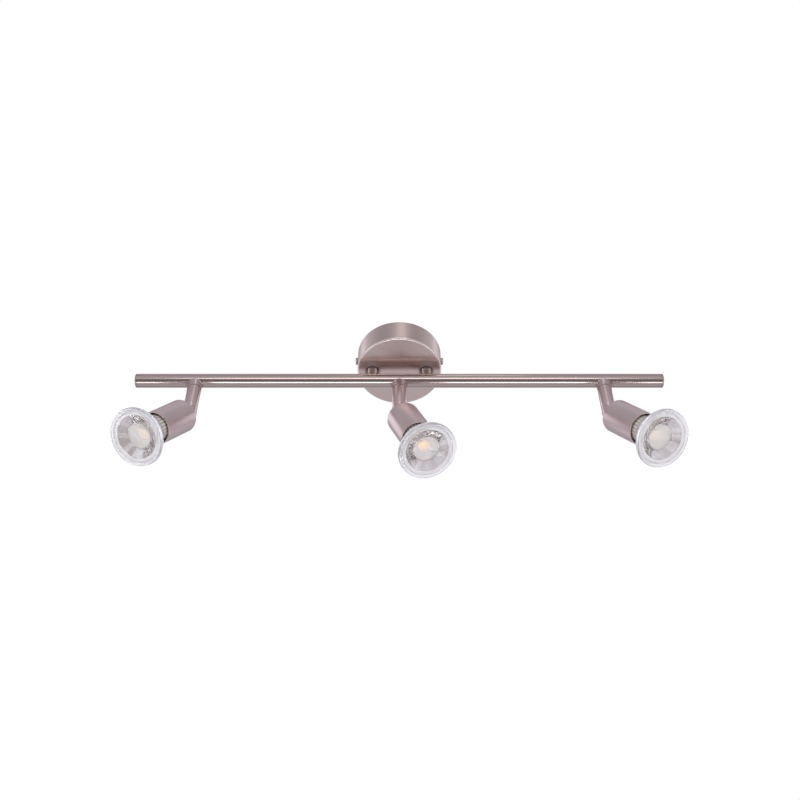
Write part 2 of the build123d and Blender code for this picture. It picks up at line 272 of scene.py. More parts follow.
def finish_piece(obj, body, material, nodes=(), angle=32, radius=None):
    shade(obj, angle)
    if radius:
        true_round(obj, radius)
    obj.data.materials.clear()
    obj.data.materials.append(material)
    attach(obj, body)
    if nodes:
        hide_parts(*nodes)
    return obj


# ------------------------------------------------------------------ material helpers
class Net:
    def __init__(self, name):
        self.mat = bpy.data.materials.new(name)
        self.mat.use_nodes = True
        self.tree = self.mat.node_tree
        self.tree.nodes.clear()
        self.out = self.add("ShaderNodeOutputMaterial")
        self.bsdf = self.add("ShaderNodeBsdfPrincipled")
        self.link(self.bsdf.outputs[0], self.out.inputs[0])

    def add(self, kind, **props):
        node = self.tree.nodes.new(kind)
        for k, v in props.items():
            setattr(node, k, v)
        return node

    def link(self, a, b):
        self.tree.links.new(a, b)

    def feed(self, value, socket):
        if hasattr(value, "is_output"):
            self.link(value, socket)
        else:
            socket.default_value = value

    def set(self, **values):
        for k, v in values.items():
            self.feed(v, self.bsdf.inputs[k.replace("_", " ")])

    def math(self, op, a, b=0.0, clamp=False):
        n = self.add("ShaderNodeMath", operation=op, use_clamp=clamp)
        self.feed(a, n.inputs[0])
        self.feed(b, n.inputs[1])
        return n.outputs[0]

    def coords(self):
        return self.add("ShaderNodeTexCoord").outputs["Object"]

    def split(self, vector):
        n = self.add("ShaderNodeSeparateXYZ")
        self.link(vector, n.inputs[0])
        return n.outputs

    def vector(self, x, y, z):
        n = self.add("ShaderNodeCombineXYZ")
        for v, s in zip((x, y, z), n.inputs):
            self.feed(v, s)
        return n.outputs[0]

    def noise(self, vector, scale, detail=3.0, rough=0.5, distortion=0.0):
        n = self.add("ShaderNodeTexNoise")
        self.link(vector, n.inputs["Vector"])
        n.inputs["Scale"].default_value = scale
        n.inputs["Detail"].default_value = detail
        n.inputs["Roughness"].default_value = rough
        n.inputs["Distortion"].default_value = distortion
        return n.outputs["Fac"]

    def spread(self, value, a, b, c, d):
        n = self.add("ShaderNodeMapRange", clamp=True)
        self.feed(value, n.inputs[0])
        for v, s in zip((a, b, c, d), list(n.inputs)[1:5]):
            s.default_value = v
        return n.outputs[0]

    def mix(self, fac, a, b, how="MIX"):
        n = self.add("ShaderNodeMix", data_type="RGBA", blend_type=how)
        self.feed(fac, n.inputs[0])
        for value, socket in ((a, n.inputs[6]), (b, n.inputs[7])):
            self.feed(value if hasattr(value, "is_output") else (*value, 1.0), socket)
        return n.outputs[2]

    def painted_crease_shade(self, colour, reach, deepest):
        """Colour darkened with painted shade where another surface comes near."""
        n = self.add("ShaderNodeAmbientOcclusion", samples=8)
        n.inputs["Distance"].default_value = reach
        shut = self.spread(n.outputs["AO"], 0.40, 0.95, deepest, 1.0)
        return self.mix(1.0, colour, self.vector(shut, shut, shut), "MULTIPLY")

    def bump(self, height, strength, distance):
        n = self.add("ShaderNodeBump")
        n.inputs["Strength"].default_value = strength
        n.inputs["Distance"].default_value = distance
        self.link(height, n.inputs["Height"])
        self.link(n.outputs[0], self.bsdf.inputs["Normal"])


def brushed(name, dark, light, rough, aniso, turned=True, wear_and_highlight=0.5, across=0.25, depth=0.012, rim=None, bore=None, flat=None, saddle=None):
    """Plated metal brushed round its axis: fine lines, edges lightened, partly worn and partly a painted highlight,
    painted shade at joints. Options: a rim with less roughness and a painted highlight, a bare bore, a straight-brushed
    flat end lifted with painted light, a bright saddle edge that is a painted highlight.
    """
    n = Net(name)
    at = n.coords()
    x, y, z = n.split(at)
    out = n.math("SQRT", n.math("ADD", n.math("MULTIPLY", x, x), n.math("MULTIPLY", y, y)))
    along = n.math("ADD", out, z)
    if turned:
        lines = n.noise(n.vector(n.math("MULTIPLY", x, 90.0), n.math("MULTIPLY", y, 90.0), n.math("MULTIPLY", along, 3800.0)), 1.0, 2.0, 0.6)
        broad = n.noise(n.vector(n.math("MULTIPLY", x, 40.0), n.math("MULTIPLY", y, 40.0), n.math("MULTIPLY", along, 700.0)), 1.0, 2.0, 0.5)
    else:
        lines = n.noise(at, 2600.0, 2.0, 0.6)
        broad = n.noise(at, 420.0, 2.0, 0.5)
    cloud = n.noise(at, 70.0, 3.0, 0.55)
    tone = n.math("ADD", n.math("MULTIPLY", lines, 0.5), n.math("ADD", n.math("MULTIPLY", broad, 0.3), n.math("MULTIPLY", cloud, 0.35)))
    colour = n.mix(n.spread(tone, 0.35, 0.80, 0.0, 1.0), dark, light)
    # convex edges found by pointiness are lightened: partly worn plating, partly a painted highlight
    point = n.add("ShaderNodeNewGeometry").outputs["Pointiness"]
    edge = n.spread(point, 0.505, 0.56, 0.0, wear_and_highlight)
    colour = n.mix(edge, colour, tuple(min(1.0, c * 1.22) for c in light))
    blur = n.math("ADD", n.spread(broad, 0.3, 0.7, rough - 0.004, rough + 0.004), n.math("MULTIPLY", n.math("SUBTRACT", cloud, 0.5), 0.008))
    if rim:
        # the canopy's rounded rim gets a lighter colour, a painted highlight, and less roughness
        cut = n.math("MULTIPLY", n.spread(z, rim[0] * MM, rim[1] * MM, 0.0, 1.0), n.spread(out, rim[2] * MM, rim[3] * MM, 0.0, 1.0))
        colour = n.mix(cut, colour, n.mix(cloud, (0.80, 0.70, 0.67), (0.88, 0.79, 0.75)))
        blur = n.math("SUBTRACT", blur, n.math("MULTIPLY", cut, 0.11))
    if bore:
        bare = n.spread(out, bore * MM, (bore + 0.25) * MM, 1.0, 0.0)
        colour = n.mix(bare, colour, n.mix(cloud, (0.80, 0.75, 0.72), (0.88, 0.83, 0.80)))
        blur = n.math("ADD", blur, n.math("MULTIPLY", bare, 0.15))
    if turned:
        tangent = n.add("ShaderNodeTangent", direction_type="RADIAL", axis="Z").outputs[0]
        if flat:
            end = n.spread(z, (flat[0] + 0.35) * MM, (flat[0] + 0.05) * MM, 0.0, 1.0)
            blur = n.math("ADD", blur, n.math("MULTIPLY", end, flat[1] - rough))
            # the flat end's colour is lifted to a lighter, pinker tone: painted light on that face
            colour = n.mix(n.math("MULTIPLY", end, 0.7), colour, (0.765, 0.622, 0.597))
            blend = n.add("ShaderNodeMix", data_type="VECTOR")
            n.link(end, blend.inputs[0])
            n.link(tangent, blend.inputs[4])
            n.link(n.add("ShaderNodeTangent", direction_type="RADIAL", axis="Y").outputs[0], blend.inputs[5])
            tangent = blend.outputs[1]
        n.link(tangent, n.bsdf.inputs["Tangent"])
    # painted shade: colour darkened by ambient occlusion in joints and creases
    colour = n.painted_crease_shade(colour, 0.0025, 0.35)
    metal = 1.0
    if saddle:
        # a thin band along the neck's saddle edge is painted near-white and made partly non-metallic: a painted
        # highlight
        drop = n.math("SUBTRACT", z, saddle[0] * MM)
        away = n.math("SQRT", n.math("ADD", n.math("MULTIPLY", y, y), n.math("MULTIPLY", drop, drop)))
        line = n.math("MULTIPLY", n.spread(away, (saddle[1] + 0.5) * MM, (saddle[1] + 1.0) * MM, 1.0, 0.0), n.spread(n.math("ABSOLUTE", x), 0.0026, 0.0046, 0.0, 1.0))
        colour = n.mix(line, colour, (0.95, 0.91, 0.89))
        metal = n.math("SUBTRACT", 1.0, n.math("MULTIPLY", line, 0.7))
    n.set(Base_Color=colour, Metallic=metal, Anisotropic=aniso, Anisotropic_Rotation=across, Roughness=blur)
    n.bump(lines, depth, 0.00005)
    return n.mat


def polished(name, dark, light, rough):
    n = Net(name)
    at = n.coords()
    haze = n.noise(at, 160.0, 4.0, 0.6)
    fine = n.noise(at, 1800.0, 2.0, 0.5)
    # painted shade: colour darkened by ambient occlusion in joints and creases
    n.set(Base_Color=n.painted_crease_shade(n.mix(n.spread(haze, 0.3, 0.7, 0.0, 1.0), dark, light), 0.0025, 0.25), Metallic=1.0)
    n.set(Roughness=n.spread(haze, 0.3, 0.7, rough * 0.7, rough * 1.5))
    n.bump(fine, 0.03, 0.00003)
    return n.mat


def zinc(name):
    n = Net(name)
    at = n.coords()
    cell = n.add("ShaderNodeTexVoronoi", feature="F1")
    n.link(at, cell.inputs["Vector"])
    cell.inputs["Scale"].default_value = 420.0
    grain = n.noise(at, 900.0, 3.0, 0.6)
    patch = n.noise(at, 60.0, 3.0, 0.6)
    tone = n.math("ADD", n.math("MULTIPLY", n.split(cell.outputs["Color"])[0], 0.5), n.math("MULTIPLY", patch, 0.5))
    colour = n.mix(n.spread(tone, 0.2, 0.85, 0.0, 1.0), (0.46, 0.48, 0.52), (0.72, 0.73, 0.74))
    colour = n.mix(n.spread(patch, 0.52, 0.75, 0.0, 0.25), colour, (0.66, 0.62, 0.50))
    n.set(Base_Color=colour, Metallic=1.0, Roughness=n.spread(grain, 0.3, 0.7, 0.30, 0.46))
    n.bump(grain, 0.10, 0.0001)
    return n.mat


def moulded(name, dark, light, rough, grain_size=1500.0, depth=0.12, coat=0.0):
    n = Net(name)
    at = n.coords()
    grain = n.noise(at, grain_size, 3.0, 0.55)
    cloud = n.noise(at, 90.0, 3.0, 0.5)
    n.set(Base_Color=n.mix(n.spread(cloud, 0.3, 0.7, 0.0, 1.0), dark, light), Coat_Weight=coat)
    n.set(Roughness=n.spread(grain, 0.3, 0.7, rough - 0.06, rough + 0.08))
    n.bump(grain, depth, 0.0001)
    return n.mat


def clear(name, tint, ior, through, neck):
    """Pressed glass with faint waves and smears; the neck below height neck is frosted and finely ribbed, with painted
    light and shade striped along its ribs, the front lip slightly milky.
    """
    n = Net(name)
    at = n.coords()
    x, y, z = n.split(at)
    flow = n.noise(at, 55.0, 2.0, 0.5, 0.6)
    smear = n.noise(at, 240.0, 4.0, 0.6)
    low = n.spread(z, neck * MM, (neck + 5.0) * MM, 1.0, 0.0)
    colour = n.mix(n.spread(smear, 0.3, 0.7, 0.0, 1.0), tuple(c * 0.985 for c in tint), tint)
    ribs = n.math("SINE", n.math("MULTIPLY", n.math("ARCTAN2", y, x), 26.0))
    # the ribs alternate dark and light in colour: painted light and shade on the ribs
    frost_and_rib_shade = n.mix(n.spread(ribs, -0.8, 0.8, 0.0, 1.0), (0.52, 0.455, 0.41), (0.97, 0.93, 0.89))
    lip = n.spread(z, (LAMP_FRONT - 4.6) * MM, (LAMP_FRONT - 3.4) * MM, 0.0, 1.0)
    colour = n.mix(lip, colour, tuple(c * 0.97 for c in tint))
    n.set(Base_Color=n.mix(low, colour, frost_and_rib_shade))
    milky = n.math("ADD", n.math("MULTIPLY", low, 0.40), n.math("MULTIPLY", lip, 0.08))
    n.set(Transmission_Weight=n.math("SUBTRACT", n.spread(flow, 0.3, 0.7, through - 0.03, through + 0.03), milky))
    n.set(IOR=ior, Roughness=n.math("ADD", n.spread(smear, 0.4, 0.8, 0.002, 0.02), n.math("MULTIPLY", low, 0.12)))
    n.bump(n.math("ADD", flow, n.math("MULTIPLY", n.math("MULTIPLY", ribs, low), 0.4)), 0.04, 0.0003)
    return n.mat


def optic(name):
    """Moulded lens: pebbled centre, fluted funnel with painted reflections, pale flat ring, told apart by distance from
    the axis.
    """
    n = Net(name)
    at = n.coords()
    x, y, z = n.split(at)
    out = n.math("SQRT", n.math("ADD", n.math("MULTIPLY", x, x), n.math("MULTIPLY", y, y)))
    front = n.spread(z, (LAMP_FRONT - 6.2) * MM, (LAMP_FRONT - 5.6) * MM, 0.0, 1.0)
    inside = n.spread(out, 0.0104, 0.0108, 1.0, 0.0)
    centre = n.math("MULTIPLY", inside, front)
    ring = n.spread(out, 0.0179, 0.0183, 0.0, 1.0)
    smear = n.noise(at, 260.0, 3.0, 0.6)
    # each flute of the funnel gets a random tone from dark beige to white: painted reflections
    sector = n.math("FLOOR", n.math("MULTIPLY", n.math("ARCTAN2", y, x), FLUTES / (2 * math.pi)))
    chance = n.add("ShaderNodeTexWhiteNoise", noise_dimensions="1D")
    n.link(sector, chance.inputs["W"])
    tone = n.math("ADD", n.spread(chance.outputs["Value"], 0.2, 0.85, 0.0, 0.85), n.spread(smear, 0.3, 0.7, 0.0, 0.15))
    funnel = n.mix(tone, (0.62, 0.56, 0.535), (1.0, 0.99, 1.0))
    milk = n.mix(n.spread(smear, 0.3, 0.7, 0.0, 1.0), (0.96, 0.94, 0.93), (0.99, 0.975, 0.965))
    colour = n.mix(inside, funnel, milk)
    colour = n.mix(ring, colour, n.mix(smear, (0.93, 0.91, 0.92), (0.98, 0.965, 0.98)))
    n.set(Base_Color=colour, IOR=1.49)
    milky = n.math("MAXIMUM", n.math("MULTIPLY", centre, 0.31), n.math("MULTIPLY", ring, 0.38))
    n.set(Transmission_Weight=n.math("SUBTRACT", 0.98, milky))
    n.set(Roughness=n.math("ADD", n.spread(smear, 0.3, 0.7, 0.004, 0.02), n.math("MULTIPLY", centre, 0.05)))
    n.bump(smear, 0.02, 0.0001)
    return n.mat


def emitter(name):
    """Yellow phosphor inside a white dam, told apart by distance from the lamp's axis; seen from the side the yellow
    gives way to a painted pale reflection, and the phosphor carries a weak painted glow.
    """
    n = Net(name)
    at = n.coords()
    x, y, z = n.split(at)
    out = n.math("SQRT", n.math("ADD", n.math("MULTIPLY", x, x), n.math("MULTIPLY", y, y)))
    grain = n.noise(at, 2400.0, 3.0, 0.6)
    yellow = n.mix(n.spread(grain, 0.3, 0.7, 0.0, 1.0), (0.86, 0.50, 0.10), (0.95, 0.62, 0.17))
    white = n.mix(n.spread(grain, 0.3, 0.7, 0.0, 1.0), (0.78, 0.77, 0.73), (0.86, 0.85, 0.82))
    # seen from the side, by facing angle, the yellow gives way to a pale tone: a painted reflection on the cover
    side = n.add("ShaderNodeLayerWeight")
    side.inputs["Blend"].default_value = 0.5
    pale = n.spread(side.outputs["Facing"], 0.115, 0.165, 0.0, 1.0)
    yellow = n.mix(pale, yellow, (0.84, 0.78, 0.74))
    n.set(Base_Color=n.mix(n.spread(out, 0.0052, 0.0054, 0.0, 1.0), yellow, white))
    n.set(Roughness=n.spread(grain, 0.3, 0.7, 0.28, 0.45))
    # the phosphor is given a weak emission, orange face-on and pale from the side: a painted glow
    glow = n.spread(out, 0.0052, 0.0054, 1.0, 0.0)
    n.set(Emission_Color=n.mix(glow, (0.0, 0.0, 0.0), n.mix(pale, (1.0, 0.56, 0.16), (0.42, 0.385, 0.365))), Emission_Strength=0.60)
    n.bump(grain, 0.1, 0.0001)
    return n.mat


NICKEL_DARK, NICKEL_LIGHT = (0.578, 0.457, 0.455), (0.675, 0.542, 0.538)
satin = brushed("satin_nickel", (0.455, 0.370, 0.349), (0.527, 0.432, 0.406), 0.14, 0.6, depth=0.002)
satin_canopy = brushed("satin_nickel_canopy", (0.64, 0.525, 0.49), (0.70, 0.575, 0.54), 0.24, 0.9, across=0.0, depth=0.002, rim=(-22.3, -23.2, 35.0, 36.2), flat=(-CANOPY_H, 0.33))
satin_cup = brushed("satin_nickel_cup", (0.605, 0.495, 0.49), (0.675, 0.56, 0.55), 0.30, 0.4, depth=0.006, bore=13.4)
satin_soft = brushed("satin_nickel_soft", NICKEL_DARK, NICKEL_LIGHT, 0.29, 0.4, depth=0.006)
satin_neck = brushed("satin_nickel_neck", NICKEL_DARK, NICKEL_LIGHT, 0.24, 0.4, depth=0.004, saddle=(BAR_Z, BAR_R))
satin_plain = brushed("satin_nickel_plain", NICKEL_DARK, NICKEL_LIGHT, 0.26, 0.0, turned=False)
bright = polished("bright_nickel", (0.58, 0.51, 0.48), (0.68, 0.61, 0.58), 0.11)
zinc_mat = zinc("zinc_steel")
brass_mat = polished("brass", (0.60, 0.42, 0.16), (0.76, 0.58, 0.27), 0.26)
nylon = moulded("white_nylon", (0.72, 0.71, 0.66), (0.80, 0.79, 0.75), 0.42)
sleeve = moulded("lead_sleeve", (0.70, 0.69, 0.64), (0.82, 0.81, 0.78), 0.55, 2600.0, 0.35)
phenolic = moulded("black_phenolic", (0.010, 0.010, 0.010), (0.020, 0.019, 0.018), 0.42, 1800.0, 0.2)
white_base = moulded("white_base", (0.74, 0.73, 0.70), (0.82, 0.81, 0.79), 0.30, 1200.0, 0.06)
glass = clear("clear_glass", (0.965, 0.95, 1.0), 1.30, 0.72, 47.0)
lens_mat = optic("clear_lens")
housing_mat = moulded("led_housing", (0.66, 0.64, 0.59), (0.78, 0.77, 0.73), 0.35)
board_mat = moulded("led_board", (0.86, 0.85, 0.83), (0.93, 0.92, 0.90), 0.30)
phosphor = emitter("led_phosphor")

# ------------------------------------------------------------------ canopy
canopy = revolve("canopy", rounded([
    (CANOPY_R, 0, 0.3), (CANOPY_R, -CANOPY_H, 1.7), (30, -CANOPY_H, 0), (18, -CANOPY_H, 0), (6, -CANOPY_H, 0), (0, -CANOPY_H, 0),
    (0, 1 - CANOPY_H, 0), (CANOPY_R - 1, 1 - CANOPY_H, 0.8), (CANOPY_R - 1, 0, 0.3),
], 8), seg=192)
tools = []
for s in (-1, 1):
    tools.append(rod(4.1, -30, -20, placed((s * POST_X, 0, 0))))
    tools.append(rod(2.15, 30, 40, placed((0, 0, SCREW_Z), (0, 1, 0), (s, 0, 0))))
carve(canopy, tools)
finish_piece(canopy, "base", satin_canopy, ["canopy"], radius=CANOPY_R)

screws = []
for s in (-1, 1):
    at = placed((s * (CANOPY_R + 0.05), 0, SCREW_Z), (0, 1, 0), (s, 0, 0))
    screw = revolve("screw", rounded([(0, 2.0, 0), (3.2, 2.0, 1.1), (3.2, 0, 0.15), (1.95, 0, 0), (1.95, -4.6, 0.3), (0, -4.6, 0)], 5), at, 64)
    carve(screw, [brick(-4, 4, -0.45, 0.45, 1.1, 3, at)])
    screws.append(screw)
finish_piece(join("canopy_screws", screws), "base", bright, ["canopy_side_screws"])

# ------------------------------------------------------------------ posts
ON_BAR = placed((0, 0, BAR_Z), (0, 1, 0), (1, 0, 0))
for s, name in ((-1, "post_left"), (1, "post_right")):
    post = revolve(name, rounded([(POST_R, -CANOPY_H, 0.8), (POST_R, BAR_Z, 0), (4.1, BAR_Z, 0), (4.1, -CANOPY_H, 0)], 4), placed((s * POST_X, 0, 0)), 96)
    carve(post, [rod(BAR_R + 0.02, -60, 60, ON_BAR, 128)])
    finish_piece(post, "base", bright, ["spacer_posts"], radius=POST_R)

# ------------------------------------------------------------------ bar and its end plugs
half = BAR_LEN / 2 - CAP_T
bar = revolve("bar", rounded([(BAR_R, half, 0.1), (BAR_R, -half, 0.1), (BAR_BORE, -half, 0), (BAR_BORE, half, 0)], 3), ON_BAR, 160)
tools = [rod(4.05, BAR_Z, BAR_Z + 10, placed((s * POST_X, 0, 0))) for s in (-1, 1)]
tools += [rod(4.05, BAR_Z - 10, BAR_Z, placed((x, 0, 0))) for x, _, _ in HEADS.values()]
carve(bar, tools)
finish_piece(bar, "base", satin, ["bar_tube"], radius=BAR_R)

for s, name in ((-1, "bar_end_left"), (1, "bar_end_right")):
    at = placed((s * half, 0, BAR_Z), (0, 1, 0), (s, 0, 0))
    cap = revolve(name, rounded([
        (0, CAP_T, 0), (BAR_R, CAP_T, 1.5), (BAR_R, 0.03, 0.08), (5.15, 0.03, 0), (5.15, -6, 0.4), (0, -6, 0),
    ], 8), at, 128)
    finish_piece(cap, "base", satin, ["bar_end_caps"])

# ------------------------------------------------------------------ necks
low = SEAM_Z - 5.8
for side, (x, _, _) in HEADS.items():
    neck = revolve("neck_" + side, rounded([
        (NECK_R, BAR_Z - NECK_RIM, 0.9), (NECK_R, SEAM_Z + 0.2, 0.25), (4.0, SEAM_Z + 0.2, 0), (4.0, low + 1.55, 0),
        (4.7, low + 1.55, 0.1), (4.7, low, 0.3), (2.5, low, 0.2), (2.5, BAR_Z - NECK_RIM, 0),
    ], 8), placed((x, 0, 0)), 128)
    carve(neck, [rod(BAR_R + 0.02, x - 30, x + 30, ON_BAR, 160)])
    finish_piece(neck, "base", satin_neck, ["swivel_necks"], radius=NECK_R)


# ------------------------------------------------------------------ heads
def stadium(r, z_top, z_mid, steps=24):
    pts = [(r, z_top)]
    for k in range(steps + 1):
        a = -math.pi * k / steps
        pts.append((r * math.cos(a), z_mid + r * math.sin(a)))
    pts.append((-r, z_top))
    return pts


def make_stem(side, x, azimuth):
    body = "arm_" + side
    a = math.radians(azimuth)
    at = placed((x, 0, HINGE_Z), (math.sin(a), -math.cos(a), 0), (0, 0, 1))
    top = SEAM_Z - HINGE_Z
    stem = revolve("stem_tube_" + side, rounded([
        (STEM_R, 7.52, 0.12), (STEM_R, top, 0.6), (4.05, top, 0.1), (4.05, top - 4, 0), (5.0, top - 4, 0), (5.0, 7.52, 0),
    ], 5), at, 96)
    finish_piece(stem, body, satin_soft, ["stem_" + side])

    fork = revolve("fork_" + side, [(STEM_R, -6.5), (STEM_R, 7.5), (4.95, 7.5), (4.95, 14.5), (1.6, 14.5), (1.6, -6.5)], at, 96)
    carve(fork, [prism(stadium(STEM_R, 16, 0), -8, 8, at)], "INTERSECT")
    tools = [brick(-3.1, 3.1, -8, 8, -8, 6.3, at)]
    for s in (-1, 1):
        side_at = at @ Matrix.Rotation(s * math.pi / 2, 4, "Y")
        tools += [rod(1.8, 2, 8, side_at, 48), rod(3.0, 4.2, 8, side_at, 64)]
    carve(fork, tools)
    finish_piece(fork, body, satin_plain, ["stem_fork_" + side])

    pins = []
    for s in (-1, 1):
        side_at = at @ Matrix.Rotation(s * math.pi / 2, 4, "Y")
        pin = revolve("pin", rounded([(0, 7, 0), (2.93, 7, 0), (2.93, 4.25, 0), (1.75, 4.25, 0), (1.75, 1.7, 0.2), (0, 1.7, 0)], 4), side_at, 64)
        carve(pin, [rod(STEM_R - 0.03, -9, 9, at, 192)], "INTERSECT")
        pins.append(pin)
    finish_piece(join("tilt_pins_" + side, pins), body, satin_plain, ["tilt_screws_" + side])


def make_cup(side, at):
    body = "spot_" + side
    cup = revolve("cup_shell_" + side, rounded([
        (4.55, 0, 0.1), (CUP_R, 0, 2.0), (CUP_R, CUP_LEN, 0.28), (CUP_BORE, CUP_LEN, 0.28), (CUP_BORE, 1.2, 1.2), (4.55, 1.2, 0),
    ], 8), at, 160)
    carve(cup, [rod(1.5, -1, 3, at @ Matrix.Translation((0, s * 9 * MM, 0)), 48) for s in (-1, 1)])
    finish_piece(cup, body, satin_cup, ["cup_" + side])

    tongue = revolve("tongue_" + side, rounded([
        (0, -4.3, 0), (STEM_R, -4.3, 0.5), (STEM_R, -0.02, 0.1), (4.5, -0.02, 0), (4.5, 1.22, 0), (5.5, 1.22, 0), (5.5, 2.2, 0.2), (0, 2.2, 0),
    ], 4), at, 96)
    carve(tongue, [prism([(-y, z - 21.8) for y, z in stadium(5.7, 17.8, 10.9)], -2.9, 2.9, at)], "UNION")
    across = at @ Matrix.Translation((0, 0, -10.9 * MM)) @ Matrix.Rotation(math.pi / 2, 4, "Y")
    carve(tongue, [brick(-1.5, 1.5, -8, 8, -20, -6.3, at), rod(1.6, -8, 4, at, 48), rod(1.8, -6, 6, across, 48)])
    finish_piece(tongue, body, satin_plain, ["cup_tongue_" + side])


def outline_of(points):
    return [(r, LAMP_FRONT - u) for r, u in points]


def cap_points(edge_r, edge_u, centre_u, n, start=0):
    rise = centre_u - edge_u
    ball = (edge_r ** 2 + rise ** 2) / (2 * abs(rise))
    pts = []
    for k in range(start, n + 1):
        r = edge_r * (1 - k / n)
        drop = ball - math.sqrt(ball ** 2 - r ** 2)
        pts.append((r, centre_u - math.copysign(drop, rise)))
    return pts


def arc_points(a, b, c, n):
    """n steps along the circle arc from a through b to c."""
    (ax, ay), (bx, by), (cx, cy) = a, b, c
    d = 2 * (ax * (by - cy) + bx * (cy - ay) + cx * (ay - by))
    ux = ((ax * ax + ay * ay) * (by - cy) + (bx * bx + by * by) * (cy - ay) + (cx * cx + cy * cy) * (ay - by)) / d
    uy = ((ax * ax + ay * ay) * (cx - bx) + (bx * bx + by * by) * (ax - cx) + (cx * cx + cy * cy) * (bx - ax)) / d
    r = math.hypot(ax - ux, ay - uy)
    t0, t1, t2 = (math.atan2(q - uy, p - ux) for p, q in (a, b, c))
    while t2 - t0 > math.pi:
        t2 -= 2 * math.pi
    while t2 - t0 < -math.pi:
        t2 += 2 * math.pi
    return [(ux + r * math.cos(t0 + (t2 - t0) * k / n), uy + r * math.sin(t0 + (t2 - t0) * k / n)) for k in range(n + 1)]




def pebble(x, y):
    """Small domes in a square pattern set on its corner."""
    u, v = (x + y) / math.sqrt(2) / PITCH, (x - y) / math.sqrt(2) / PITCH
    du, dv = u - round(u), v - round(v)
    return 0.45 * (0.5 - du * du - dv * dv)


def make_lamp(side, at):
    body = "lamp_" + side
    edge = (LAMP_R - 1.35, 4.2)
    flange = smooth_line([
        (LENS_R + 0.1, 0.7), (LENS_R + 0.45, 0.2), (LENS_R + 0.9, 0.05), (LENS_R + 1.15, 0.3), (LENS_R + 1.4, 0.32), (LENS_R + 1.65, 0.08),
        (LAMP_R - 0.95, 0.12), (LAMP_R - 0.5, 0.45), (LAMP_R, 1.7), (LAMP_R - 0.3, 3.0), edge,
    ], 4)
    outer = smooth_line([edge, (21.7, 5.8), (18.5, 11.6), (15.8, 16.0), (13.4, 20.0), (12.1, 23.6), (11.5, 27.5)], 6)
    neck = LAMP_FRONT - 28.8
    inner = smooth_line([(9.7, 27.5), (10.3, 23.8), (11.8, 20.6), (14.1, 16.6), (16.7, 12.2), (19.5, 6.6), (20.0, 4.0)], 6)
    profile = flange[:-1] + outer + [(11.5, neck - 0.3), (11.2, neck), (10.0, neck), (9.7, neck - 0.3)] + inner + [(20.0, 2.4), (LENS_R + 0.1, 2.4)]
    bulb = revolve("lamp_bulb_" + side, outline_of(profile), at, 256)
    finish_piece(bulb, body, glass, ["lamp_glass_" + side], 40)

    front = [
        (LENS_R, 2.3), (LENS_R, 0.75), (LENS_R - 0.12, 0.6), (LENS_R - 0.5, 0.6), (LENS_R - 0.75, 0.9), (18.4, 0.9), (18.25, 0.95), (17.95, 1.3), (11.2, 4.9), (10.98, 4.95), (10.75, 4.9),
    ]
    dome = cap_points(10.75, 4.9, 3.4, 72, 1)
    pocket = list(reversed(cap_points(5.4, 10.8, 9.2, 10)))
    cone = arc_points((7.4, 13.0), (13.6, 7.8), (18.3, 2.3), 24)
    rear = pocket + [(5.7, 12.9), (5.8, 13.0), (7.3, 13.0)] + cone
    first, last = len(front), len(front) + len(dome)
    count = len(front) + len(dome) + len(rear)

    def facets(x, y, r, i):
        if first <= i < last:
            return pebble(x, y) * min(1.0, max(0.0, (10.6 - r) / 0.5))
        if count - 23 < i < count - 2:
            fade = min(1.0, (i - count + 23) / 6, (count - 2 - i) / 4)
            return 0.32 * fade * abs(math.sin(FLUTES / 2 * math.atan2(y, x)))
        return 0.0

    lens = revolve("lamp_front_lens_" + side, outline_of(front + dome + rear), at, 264, facets)
    finish_piece(lens, body, lens_mat, ["lamp_lens_" + side], 40)


def gear(name, r0, r1, teeth, z0, z1, matrix):
    """Upright ribs round a post: radius swings between r0 and r1."""
    bm = bmesh.new()
    n = teeth * 8
    wave = (0.0, 0.0, 0.15, 0.85, 1.0, 1.0, 0.85, 0.15)
    rings = []
    for z, k in ((z0, 0.97), (z0 + 0.4, 1.0), (z1 - 0.4, 1.0), (z1, 0.97)):
        ring = []
        for i in range(n):
            r = (r0 + (r1 - r0) * wave[i % 8]) * k * MM
            t = 2 * math.pi * i / n
            ring.append(bm.verts.new((r * math.cos(t), r * math.sin(t), z * MM)))
        rings.append(ring)
    for a, b in zip(rings, rings[1:]):
        for i in range(n):
            j = (i + 1) % n
            bm.faces.new((a[i], a[j], b[j], b[i]))
    bm.faces.new(rings[0])
    bm.faces.new(rings[-1])
    return keep(bm, name, matrix)


def make_light(side, at):
    body = "lamp_" + side
    top = LAMP_FRONT - 16.0
    housing = gear("lamp_housing_" + side, 7.5, 8.2, 26, 34.1, top, at)
    finish_piece(housing, body, housing_mat, ["led_module_" + side])

    board = revolve("lamp_board_" + side, rounded([
        (0, top + 0.03, 0), (10.8, top + 0.03, 0.15), (10.8, top + 1.6, 0.2), (0, top + 1.6, 0),
    ], 3), at, 96)
    carve(board, [rod(0.9, top - 1, top + 3, at @ Matrix.Translation((s * 8.6 * MM, 0, 0)), 24) for s in (-1, 1)])
    finish_piece(board, body, board_mat, ["led_module_" + side])

    face = top + 1.62
    dam = revolve("lamp_chip_" + side, rounded([
        (0, face, 0), (6.2, face, 0), (6.2, face + 0.85, 0.35), (5.45, face + 0.85, 0.3), (5.2, face + 0.55, 0.1), (0, face + 0.75, 0),
    ], 4), at, 96)
    finish_piece(dam, body, phosphor, ["led_module_" + side])


